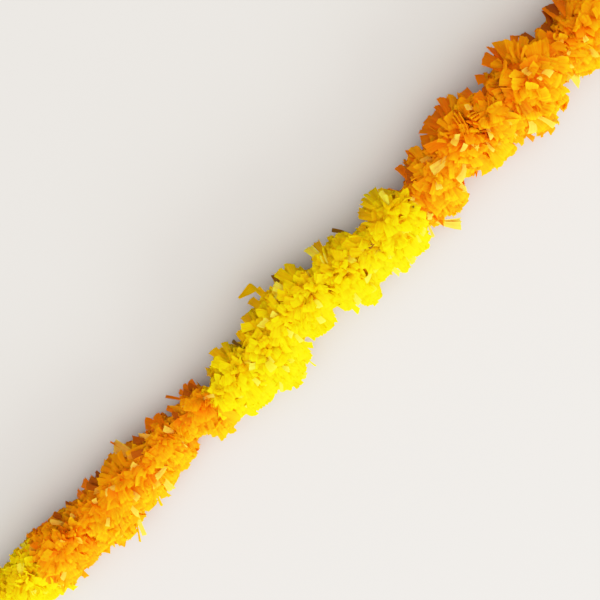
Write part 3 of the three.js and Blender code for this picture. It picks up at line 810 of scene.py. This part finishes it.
def make_head(i, rng):
    kind, s, y, R, lean, spread = HEADS[i]
    look = LOOK[kind]
    mess = MESS.get(i, 0.5)
    a, b = SURF[i], SURF[i + 1]
    mid = (a["p"] + b["p"]) / 2
    centre = np.array([mid[0], y, R * REST])
    core = centre * 0.45 + mid * 0.55
    n = face_direction(i)
    axis = unit(a["n"] + b["n"])

    blocks = []
    n_out, n_in = 180, 84
    nside = math.ceil(math.sqrt(1 + 2 * (n_out + n_in + len(PLACED_ROWS.get(i, [])))))
    total = 0
    for layer, K, nx, ny in (("outer", n_out, 6, 6), ("inner", n_in, 3, 4)):
        k = np.arange(K)
        angle = k * 2.399963 + rng.normal(0, 0.12, K)
        q = rng.permutation(K) if layer == "inner" else k
        place = -1.0 + 2.0 * (q + 0.5) / K + rng.normal(0, 0.05, K)
        if layer == "outer":
            place = place * np.where(place < 0, 1.0 if a["first"] else 1.30, 1.0 if b["last"] else 1.30)
            reach = rng.normal(0.948, 0.055, K)
        else:
            place = place * 1.05
            reach = rng.normal(0.87, 0.03, K)
        env = envelope(i, place, angle) * reach
        tip = in_head(i, place, env, angle)
        way = unit(tip - core)
        low = (way @ back > -0.25) & (under_placed(*pixels(tip)) | under_placed(*pixels(tip - way * 4.0 - unit(n - way) * 3.0)))
        tip = in_head(i, place, env * np.where(low, 0.84, 1.0), angle)
        r = tip - core
        dist = np.linalg.norm(r, axis=1)
        flat = r - (r @ axis)[:, None] * axis
        nrm = unit(0.62 * unit(flat) + 0.38 * r / dist[:, None])
        cosf = np.clip(nrm @ n, -1, 1)
        phi = np.arccos(cosf)
        away = unit(cosf[:, None] * nrm - n)
        side = np.cross(nrm, away)
        # petals lie outwards from the middle of the face, more or less in order
        turn = np.where(rng.uniform(0, 1, K) < 0.90, rng.normal(0, 0.36 * mess + 0.05, K), rng.normal(0, 1.2, K))
        ct, st = np.cos(turn)[:, None], np.sin(turn)[:, None]
        along = away * ct + side * st
        side = side * ct - away * st
        blade = np.clip(rng.normal(look["blade"][0], look["blade"][1], K), 6, 18)
        # near the middle of the face petals lie back on each other, towards the rim they stand straight out
        u3 = rng.uniform(0, 1, K)
        rim = np.clip((phi - 0.45) / 0.95, 0, 1)
        rim = rim * rim * (3 - 2 * rim)
        if layer == "inner":
            rim = rim * 0.3
        wild = np.where(u3 < 0.84, rng.normal(0, 0.12, K),
                        np.where(u3 < 0.94, rng.normal(0.38, 0.2, K), rng.normal(-0.35, 0.15, K)))
        lift = 0.12 + 0.88 * rim + wild * (0.55 + 0.45 * rim)
        end = along * np.cos(lift)[:, None] + nrm * np.sin(lift)[:, None]
        arc = np.minimum(blade - 2.0, phi * dist + 4.0)
        under = tip - end * arc[:, None] - nrm * (0.20 * blade + 1.0)[:, None]
        base = core + unit(under - core) * 3.5
        m0 = 1.85 * (under - base)
        m1 = end * (blade * 1.65)[:, None]
        width = np.clip(rng.normal(look["width"][0], look["width"][1], K), 5.0, 13.0)
        tone, pale = petal_tones(rng, kind, K, look["pale"] if layer == "outer" else 0.0)
        width = np.where(pale, np.minimum(width, 6.0), width)
        if layer == "inner":
            width = width * 1.35
        spec = dict(
            roll0=rng.normal(0, look["roll"], K) * np.where(rng.uniform(0, 1, K) < 0.85, 1.0, 2.8),
            roll1=rng.normal(0, look["twist"], K),
            w0=rng.uniform(*look["w0"], K), wp=rng.uniform(*look["wp"], K),
            ph=rng.uniform(0, 6.28, K),
            lobe=np.abs(rng.normal(0, look["lobe"], K)), lobn=rng.uniform(1.6, 3.6, K),
            corner=np.abs(rng.normal(look["corner"], 0.06, K)), slant=rng.normal(0, 0.11, K),
            fold=np.abs(rng.normal(look["fold"], 0.3, K)), pleat=rng.normal(look["pleat"], 0.4, K),
            vee=rng.normal(0, look["vee"], K) + 0.04,
            cup=rng.normal(0, look["cup"], K), frill=np.abs(rng.normal(look["frill"], 0.02, K)),
            frf=rng.uniform(1.5, 3.2, K), buckle=rng.normal(0, 0.055, K))
        P, av, tv = petal_block(rng, base, tip, m0, m1, side, width, spec, nx, ny)
        lim = rng.uniform(0.25, 1.0, K)[:, None, None]
        P = settle(P, i, lim)
        P = trim(P, rng.normal(1.0, 0.05, K)[:, None, None])
        P = clear_gaps(P, core)
        rand = rng.uniform(0, 1, K)
        thick = np.full(K, 0.26)
        blocks.append(close_block(P, av, tv, rand, tone, thick, total, nside))
        total += 2 * K
    extra = placed_block(i, rng, total, nside)
    if extra:
        blocks.append(extra)
        total += 2 * len(PLACED_ROWS[i])
    blocks.append(heart_block(i, total, nside))
    return blocks


def heart_block(i, cell, nside):
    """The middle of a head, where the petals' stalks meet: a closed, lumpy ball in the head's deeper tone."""
    nr, nc = 11, 24
    place = np.repeat(np.linspace(-0.96, 0.96, nr), nc)
    angle = np.tile(np.linspace(0, 2 * np.pi, nc, endpoint=False), nr)
    lump = 1 + 0.05 * np.sin(5 * angle + 7 * place + i) + 0.03 * np.sin(9 * angle - 5 * place + 2 * i)
    rho = envelope(i, place, angle) * 0.70 * lump * (1 - 0.45 * np.abs(place) ** 6)
    pts = in_head(i, place, rho, angle)
    f = []
    for r in range(nr - 1):
        for c in range(nc):
            c2 = (c + 1) % nc
            f.append((r * nc + c, r * nc + c2, (r + 1) * nc + c2, (r + 1) * nc + c))
    for r, turned in ((0, True), (nr - 1, False)):
        for k in range(nc // 2 - 1):
            q = (r * nc + k, r * nc + k + 1, r * nc + nc - 2 - k, r * nc + (nc - 1 - k) % nc)
            f.append(q[::-1] if turned else q)
    f = np.array(f)
    mid = pts.mean(0)
    a, b, c = (pts[f[:, k]] - mid for k in range(3))
    if (np.einsum("ij,ij->i", a, np.cross(b, c))).sum() < 0:
        f = f[:, ::-1]
    row = (f // nc) / (nr - 1)
    col = (f % nc) / nc
    wrap = (col.max(1) - col.min(1) > 0.5) & (row.max(1) > row.min(1))
    col = np.where(wrap[:, None] & (col < 0.5), col + 1, col)
    petal = np.zeros((len(f), 4, 4), np.float32)
    petal[..., 0] = 0.5
    petal[..., 1] = 0.7
    petal[..., 2] = 0.5
    tone = np.ones((len(f), 4, 4), np.float32)
    tone[..., :3] = np.array(TONES[HEADS[i][0]]["deep"])
    uv = np.empty((len(f), 4, 2), np.float32)
    uv[..., 0] = (cell % nside + 0.06 + 0.88 * col) / nside
    uv[..., 1] = (cell // nside + 0.06 + 0.88 * row) / nside
    return dict(v=pts, f=f, petal=petal.reshape(-1, 4), tone=tone.reshape(-1, 4),
                uv=uv.reshape(-1, 2), rim=np.zeros((0, 2), int))


def placed_block(i, rng, first_cell, nside):
    rows = PLACED_ROWS.get(i)
    if not rows:
        return None
    kind, _, y, R, _, _ = HEADS[i]
    mid = (SURF[i]["p"] + SURF[i + 1]["p"]) / 2
    core = np.array([mid[0], y, R * REST]) * 0.45 + mid * 0.55
    K = len(rows)
    root = np.array([seen(r[0], r[1], -0.5) for r in rows])
    tip = np.array([seen(r[2], r[3], 0.6 * r[6] + 0.4) for r in rows])
    d = unit(tip - root)
    length = np.linalg.norm(tip - root, axis=1)
    side = unit(np.cross(back, d))
    face = np.cross(d, side)
    tw = np.radians([r[7] for r in rows])[:, None]
    side = side * np.cos(tw) + face * np.sin(tw)
    under = root - unit(root - core) * 2.0 - d * 1.0
    base = core + unit(under - core) * 3.5
    m0 = 2.3 * (under - base)
    m1 = d * (length * 2.0)[:, None]
    for j, r in enumerate(rows):
        if len(r) > 9:
            base[j], m0[j], m1[j] = root[j], tip[j] - root[j], tip[j] - root[j]
    width = np.array([r[4] * (0.75 if r[5] == "k" else 1.0) for r in rows]) * 0.735 * 1.08
    spec = dict(
        roll0=rng.normal(0, 0.05, K), roll1=rng.normal(0, 0.10, K),
        w0=rng.uniform(0.22, 0.34, K), wp=rng.uniform(0.9, 1.2, K), ph=rng.uniform(0, 6.28, K),
        lobe=np.abs(rng.normal(0.02, 0.03, K)), lobn=rng.uniform(1.6, 3.6, K),
        corner=np.abs(rng.normal(0.07, 0.05, K)), slant=rng.normal(0, 0.12, K),
        fold=np.abs(rng.normal(0.26, 0.12, K)), pleat=rng.normal(0.8, 0.3, K), vee=rng.normal(0, 0.06, K),
        cup=rng.normal(0, 0.07, K), frill=np.abs(rng.normal(0.02, 0.015, K)),
        frf=rng.uniform(1.5, 3.2, K), buckle=rng.normal(0, 0.045, K))
    for j, r in enumerate(rows):
        if len(r) > 8:
            spec["w0"][j] = r[8]
            spec["wp"][j] = 2.4 if r[8] < 0.2 else 1.0
    P, av, tv = petal_block(rng, base, tip, m0, m1, side, width, spec, 6, 6)
    z = P[..., 2]
    P[..., 2] = np.where(z < 3.0, 3.0 * np.exp(np.clip((z - 3.0) / 3.0, -6, 0)), z)
    # the deep tone of the d rows and the red-brown of the r rows darken the shaded upper-left petals: painted shade
    names = {"b": "base", "l": "light", "p": "pale", "d": "deep"}
    tone = np.array([BROWN if r[5] == "k" else PAINTED_SHADE_RUSSET if r[5] == "r" else TONES[kind][names[r[5]]] for r in rows])
    tone = tone * rng.uniform(0.94, 1.0, (K, 1))
    return close_block(P, av, tv, rng.uniform(0, 1, K), tone, np.full(K, 0.26), first_cell, nside)


def build_mesh(name, blocks, material, middle, line):
    off = 0
    vs, fs, rims = [], [], []
    for bl in blocks:
        vs.append(bl["v"])
        fs.append(bl["f"] + off)
        rims.append(bl["rim"] + off)
        off += len(bl["v"])
    v = (np.concatenate(vs) + SHIFT) * MM
    f = np.concatenate(fs)
    rim = np.concatenate(rims)
    me = bpy.data.meshes.new(name)
    me.vertices.add(len(v))
    me.vertices.foreach_set("co", v.astype(np.float32).ravel())
    me.loops.add(len(f) * 4)
    me.loops.foreach_set("vertex_index", f.astype(np.int32).ravel())
    me.polygons.add(len(f))
    me.polygons.foreach_set("loop_start", (np.arange(len(f)) * 4).astype(np.int32))
    me.update(calc_edges=True)
    me.validate()
    petal = np.concatenate([bl["petal"] for bl in blocks])
    tone = np.concatenate([bl["tone"] for bl in blocks])
    uv = np.concatenate([bl["uv"] for bl in blocks])
    at = me.attributes.new("petal", "FLOAT_COLOR", "CORNER")
    at.data.foreach_set("color", petal.astype(np.float32).ravel())
    at = me.attributes.new("tone", "FLOAT_COLOR", "CORNER")
    at.data.foreach_set("color", tone.astype(np.float32).ravel())
    layer = me.uv_layers.new(name="OFBake")
    layer.data.foreach_set("uv", uv.astype(np.float32).ravel())
    # hard edge where a petal's two sides meet
    ev = np.empty(len(me.edges) * 2, np.int32)
    me.edges.foreach_get("vertices", ev)
    ev = np.sort(ev.reshape(-1, 2), 1).astype(np.int64)
    key = ev[:, 0] * (len(v) + 1) + ev[:, 1]
    rs = np.sort(rim, 1).astype(np.int64)
    sharp = np.isin(key, rs[:, 0] * (len(v) + 1) + rs[:, 1])
    at = me.attributes.get("sharp_edge") or me.attributes.new("sharp_edge", "BOOLEAN", "EDGE")
    at.data.foreach_set("value", sharp)
    me.materials.append(material)
    me.polygons.foreach_set("use_smooth", np.ones(len(me.polygons), bool))
    me.update()
    # thin petals pass light on to each other, so a head shades softly, as one ball:
    # each petal's shading leans from its own side towards the ball's
    own = np.empty(len(me.loops) * 3, np.float32)
    me.corner_normals.foreach_get("vector", own)
    own = own.reshape(-1, 3).astype(float)
    idx = np.empty(len(me.loops), np.int32)
    me.loops.foreach_get("vertex_index", idx)
    r = v / MM - SHIFT - middle
    r = r - 0.7 * (r @ line)[:, None] * line
    ball = unit(r)[idx]
    facing = (own * ball).sum(1)
    w = BALL * np.clip((facing + 0.55) / 0.5, 0, 1)[:, None]
    me.normals_split_custom_set(unit(own * (1 - w) + ball * w).astype(np.float32))
    me.update()
    ob = bpy.data.objects.new(name, me)
    bpy.context.scene.collection.objects.link(ob)
    return ob


BALL = 0.6
counts = {"orange": 0, "yellow": 0}
for i, h in enumerate(HEADS):
    counts[h[0]] += 1
    node_name = "%s_marigold_%02d" % (h[0], counts[h[0]])
    rng = np.random.default_rng(1000 + 17 * i)
    near, far = SURF[i], SURF[i + 1]
    half = (near["p"] + far["p"]) / 2
    piece = build_mesh(node_name + "_petals", make_head(i, rng), MATERIAL[h[0]],
                       np.array([half[0], h[2], h[3] * REST]), unit(near["n"] + far["n"]))
    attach(piece, "root")
    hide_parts(node_name)

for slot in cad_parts["thread"].material_slots:
    slot.material = COTTON


def solid_tube(path, radius, sides=12, plies=2, pitch=1.6, fray=0.0):
    """Twisted thread along a path (mm): its plies stand out, and both ends are closed."""
    path = np.asarray(path, float)
    t = unit(np.gradient(path, axis=0))
    nrm = np.zeros_like(path)
    first = np.cross(t[0], [0.3, 0.2, 1.0])
    nrm[0] = unit(first)
    for k in range(1, len(path)):
        v = nrm[k - 1] - t[k] * (nrm[k - 1] @ t[k])
        nrm[k] = unit(v)
    bi = np.cross(t, nrm)
    run = np.concatenate([[0], np.cumsum(np.linalg.norm(np.diff(path, axis=0), axis=1))])
    ang = np.linspace(0, 2 * np.pi, sides, endpoint=False)
    turn = 2 * np.pi * run / pitch
    r = radius * (0.86 + 0.14 * np.abs(np.cos((ang[None, :] - turn[:, None]) * plies / 2)))
    ends = np.clip(np.minimum(run, run[-1] - run) / (0.8 * radius), 0.25, 1)
    r = r * ends[:, None]
    pts = path[:, None, :] + r[..., None] * (np.cos(ang)[None, :, None] * nrm[:, None] + np.sin(ang)[None, :, None] * bi[:, None])
    n = len(path)
    verts = list(map(tuple, pts.reshape(-1, 3))) + [tuple(path[0] - t[0] * 0.1), tuple(path[-1] + t[-1] * 0.1)]
    faces = []
    for k in range(n - 1):
        for j in range(sides):
            j2 = (j + 1) % sides
            faces.append((k * sides + j, k * sides + j2, (k + 1) * sides + j2, (k + 1) * sides + j))
    for j in range(sides):
        j2 = (j + 1) % sides
        faces.append((n * sides, j2, j))
        faces.append((n * sides + 1, (n - 1) * sides + j, (n - 1) * sides + j2))
    return verts, faces


def add_piece(name, parts, material, node_name, replace=True):
    verts, faces = [], []
    for v, f in parts:
        off = len(verts)
        verts += v
        faces += [tuple(k + off for k in q) for q in f]
    me = bpy.data.meshes.new(name)
    me.from_pydata([tuple(np.asarray(v) * MM) for v in verts], [], faces)
    me.polygons.foreach_set("use_smooth", np.ones(len(me.polygons), bool))
    me.materials.append(material)
    me.update()
    ob = bpy.data.objects.new(name, me)
    bpy.context.scene.collection.objects.link(ob)
    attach(ob, "root")
    if replace:
        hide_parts(node_name)
    return ob


# Stopper knots: the thread wound three times round itself and pulled through, with a cut tail.
for name, sign, at in (("end_knot_left", -1.0, knees[0]), ("end_knot_right", 1.0, knees[N])):
    lo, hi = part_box(name)
    lo, hi = np.array(lo) / MM, np.array(hi) / MM
    mid = (lo + hi) / 2
    ax = unit(knee_normal(0 if sign < 0 else N) * sign)
    s1 = unit(np.cross(ax, [0, 0, 1.0]))
    s2 = np.cross(ax, s1)
    half_len = 0.5 * (hi[0] - lo[0])
    radius = 0.5 * (hi[2] - lo[2])
    th = 0.58
    k = np.linspace(0, 1, 170)
    turns = 2 * np.pi * 3.4 * k
    coil_r = (radius - th - 0.1) * (1 - 0.10 * (2 * k - 1) ** 2)
    wind = (mid + (ax * ((k - 0.5) * 2 * (half_len - 1.2))[:, None])
            + coil_r[:, None] * (np.cos(turns)[:, None] * s1 + np.sin(turns)[:, None] * s2))
    k2 = np.linspace(0, 1, 60)
    back_turn = turns[-1] + 2 * np.pi * 0.9 * k2
    over = (mid + ax * ((0.5 - k2) * 2 * (half_len - 1.4))[:, None]
            + (coil_r[-1] * (1 - k2) + 0.35 * coil_r[-1] * k2)[:, None]
            * (np.cos(back_turn)[:, None] * s1 + np.sin(back_turn)[:, None] * s2))
    stem = mid + ax * (np.linspace(-half_len, half_len * 0.7, 30))[:, None]
    k3 = np.linspace(0, 1, 40)
    tail = (mid + ax * (half_len * 0.55 + 5.0 * k3)[:, None]
            + s1 * (0.9 * np.sin(2.2 * k3) + 0.4)[:, None] - np.array([0, 0, 1.0]) * (3.2 * k3 ** 2)[:, None])
    add_piece(name + "_winding", [solid_tube(p, th) for p in (wind, over, stem, tail)], COTTON, name)


def calyx_material():
    mat = bpy.data.materials.new("green_calyx")
    mat.use_nodes = True
    nt = mat.node_tree
    bsdf = nt.nodes["Principled BSDF"]
    coords = nt.nodes.new("ShaderNodeTexCoord")
    noise = nt.nodes.new("ShaderNodeTexNoise")
    noise.inputs["Scale"].default_value = 260.0
    noise.inputs["Detail"].default_value = 4.0
    nt.links.new(coords.outputs["Object"], noise.inputs["Vector"])
    mixc = nt.nodes.new("ShaderNodeMix"); mixc.data_type = "RGBA"
    mixc.inputs["A"].default_value = (0.07, 0.17, 0.022, 1)
    mixc.inputs["B"].default_value = (0.24, 0.36, 0.075, 1)
    nt.links.new(noise.outputs["Fac"], mixc.inputs["Factor"])
    nt.links.new(mixc.outputs["Result"], bsdf.inputs["Base Color"])
    bump = nt.nodes.new("ShaderNodeBump")
    bump.inputs["Strength"].default_value = 0.4
    bump.inputs["Distance"].default_value = 0.0003
    nt.links.new(noise.outputs["Fac"], bump.inputs["Height"])
    nt.links.new(bump.outputs["Normal"], bsdf.inputs["Normal"])
    bsdf.inputs["Roughness"].default_value = 0.55
    return mat


# The green cup at the back of the first flower: ribbed, with short teeth round its mouth.
ax = -unit(knee_normal(0))
s1 = unit(np.cross(ax, [0, 0, 1.0]))
s2 = np.cross(ax, s1)
rows, cols = 18, 64
ang = np.linspace(0, 2 * np.pi, cols, endpoint=False)
grid = []
for k in range(rows):
    t = k / (rows - 1)
    rad = 1.9 + 4.4 * math.sin(min(t * 1.25, 1) * math.pi / 2) ** 0.8 - 0.5 * max(t - 0.8, 0) * 5 * 0.3
    rib = 1 + 0.045 * np.cos(8 * ang) + 0.02 * np.cos(16 * ang)
    tooth = 2.6 * np.abs(np.cos(4 * ang)) ** 0.7 * max(t - 0.72, 0) / 0.28
    along = CALYX_L * (1 - t) - tooth + (0.5 if t == 0 else 0) * 0
    grid.append(knees[0] + SHIFT + ax * along[:, None] + (rad * rib)[:, None] * (np.cos(ang)[:, None] * s1 + np.sin(ang)[:, None] * s2))
inner = []
for k in range(rows - 1, 3, -3):
    t = k / (rows - 1)
    ring = grid[k]
    mid_ring = knees[0] + SHIFT + ax * (CALYX_L * (1 - t))
    inner.append(ring + (mid_ring - ring) * 0.12 - ax * (-0.2))
rings = grid + inner
verts = [tuple(p) for r in rings for p in r]
faces = []
for k in range(len(rings) - 1):
    for j in range(cols):
        j2 = (j + 1) % cols
        faces.append((k * cols + j, (k + 1) * cols + j, (k + 1) * cols + j2, k * cols + j2))
c0 = len(verts)
verts.append(tuple(knees[0] + SHIFT + ax * (CALYX_L + 0.2)))
c1 = len(verts)
verts.append(tuple(knees[0] + SHIFT + ax * (CALYX_L * 0.55)))
last = (len(rings) - 1) * cols
for j in range(cols):
    j2 = (j + 1) % cols
    faces.append((c0, j, j2))
    faces.append((c1, last + j2, last + j))
add_piece("yellow_marigold_01_calyx", [(verts, faces)], calyx_material(), "yellow_marigold_01")

# ------------------------------------------------------------ floor and light
floor_me = bpy.data.meshes.new("floor")
S = 3.0
floor_me.from_pydata([(-S, -S, 0), (S, -S, 0), (S, S, 0), (-S, S, 0)], [], [(0, 1, 2, 3)])
floor = bpy.data.objects.new("floor", floor_me)
bpy.context.scene.collection.objects.link(floor)
fmat = bpy.data.materials.new("floor")
fmat.use_nodes = True
fb = fmat.node_tree.nodes["Principled BSDF"]
fb.inputs["Base Color"].default_value = (0.460, 0.440, 0.416, 1)
fb.inputs["Roughness"].default_value = 0.9
fb.inputs["Specular IOR Level"].default_value = 0.1
floor_me.materials.append(fmat)

world = bpy.data.worlds.new("world")
bpy.context.scene.world = world
world.use_nodes = True
wt = world.node_tree
bg = wt.nodes["Background"]
bg.inputs[0].default_value = (1.0, 0.98, 0.955, 1)
# a wide soft wall of light: stronger from the -Y side and above, weaker from the +Y side
way = wt.nodes.new("ShaderNodeTexCoord")
dot = wt.nodes.new("ShaderNodeVectorMath")
dot.operation = "DOT_PRODUCT"
dot.inputs[1].default_value = (0.0, -0.60, 0.80)
wt.links.new(way.outputs["Generated"], dot.inputs[0])
wall = wt.nodes.new("ShaderNodeMapRange")
wall.inputs["From Min"].default_value = -0.25
wall.inputs["From Max"].default_value = 1.0
wall.inputs["To Min"].default_value = 0.22
wall.inputs["To Max"].default_value = 2.8
wall.interpolation_type = "SMOOTHSTEP"
wt.links.new(dot.outputs["Value"], wall.inputs["Value"])
wt.links.new(wall.outputs["Result"], bg.inputs[1])


def area(name, loc, look_at, size, power, color):
    d = bpy.data.lights.new(name, "AREA")
    d.shape = "DISK"
    d.size = size
    d.energy = power
    d.color = color
    o = bpy.data.objects.new(name, d)
    bpy.context.scene.collection.objects.link(o)
    loc = np.array(loc, float)
    z = unit(loc - np.array(look_at, float))
    x = unit(np.cross([0, 0, 1.0], z))
    yv = np.cross(z, x)
    mm = np.eye(4)
    mm[:3, 0], mm[:3, 1], mm[:3, 2], mm[:3, 3] = x, yv, z, loc
    o.matrix_world = Matrix(mm.tolist())
    return o


area("key", (0.1, -2.42, 0.67), (0.0, 0, 0), 1.6, 91, (1.0, 0.982, 0.95))

scene = bpy.context.scene
scene.cycles.max_bounces = 16
scene.cycles.diffuse_bounces = 8
scene.cycles.transmission_bounces = 12
scene.view_settings.view_transform = "Standard"
scene.view_settings.look = "None"
scene.view_settings.exposure = 0.0
scene.view_settings.gamma = 1.0
# a soft shoulder, as a camera has, so the lit petals don't burn out
scene.view_settings.use_curve_mapping = True
tone_map = scene.view_settings.curve_mapping
tone_map.white_level = (2.0, 2.0, 2.0)
tone_curve = tone_map.curves[3]
tone_curve.points[0].location = (0.0, 0.0)
tone_curve.points[-1].location = (1.0, 1.0)
for px, py in ((0.125, 0.25), (0.25, 0.5), (0.375, 0.715), (0.5, 0.845), (0.65, 0.925), (0.8, 0.97)):
    tone_curve.points.new(px, py)
tone_map.update()
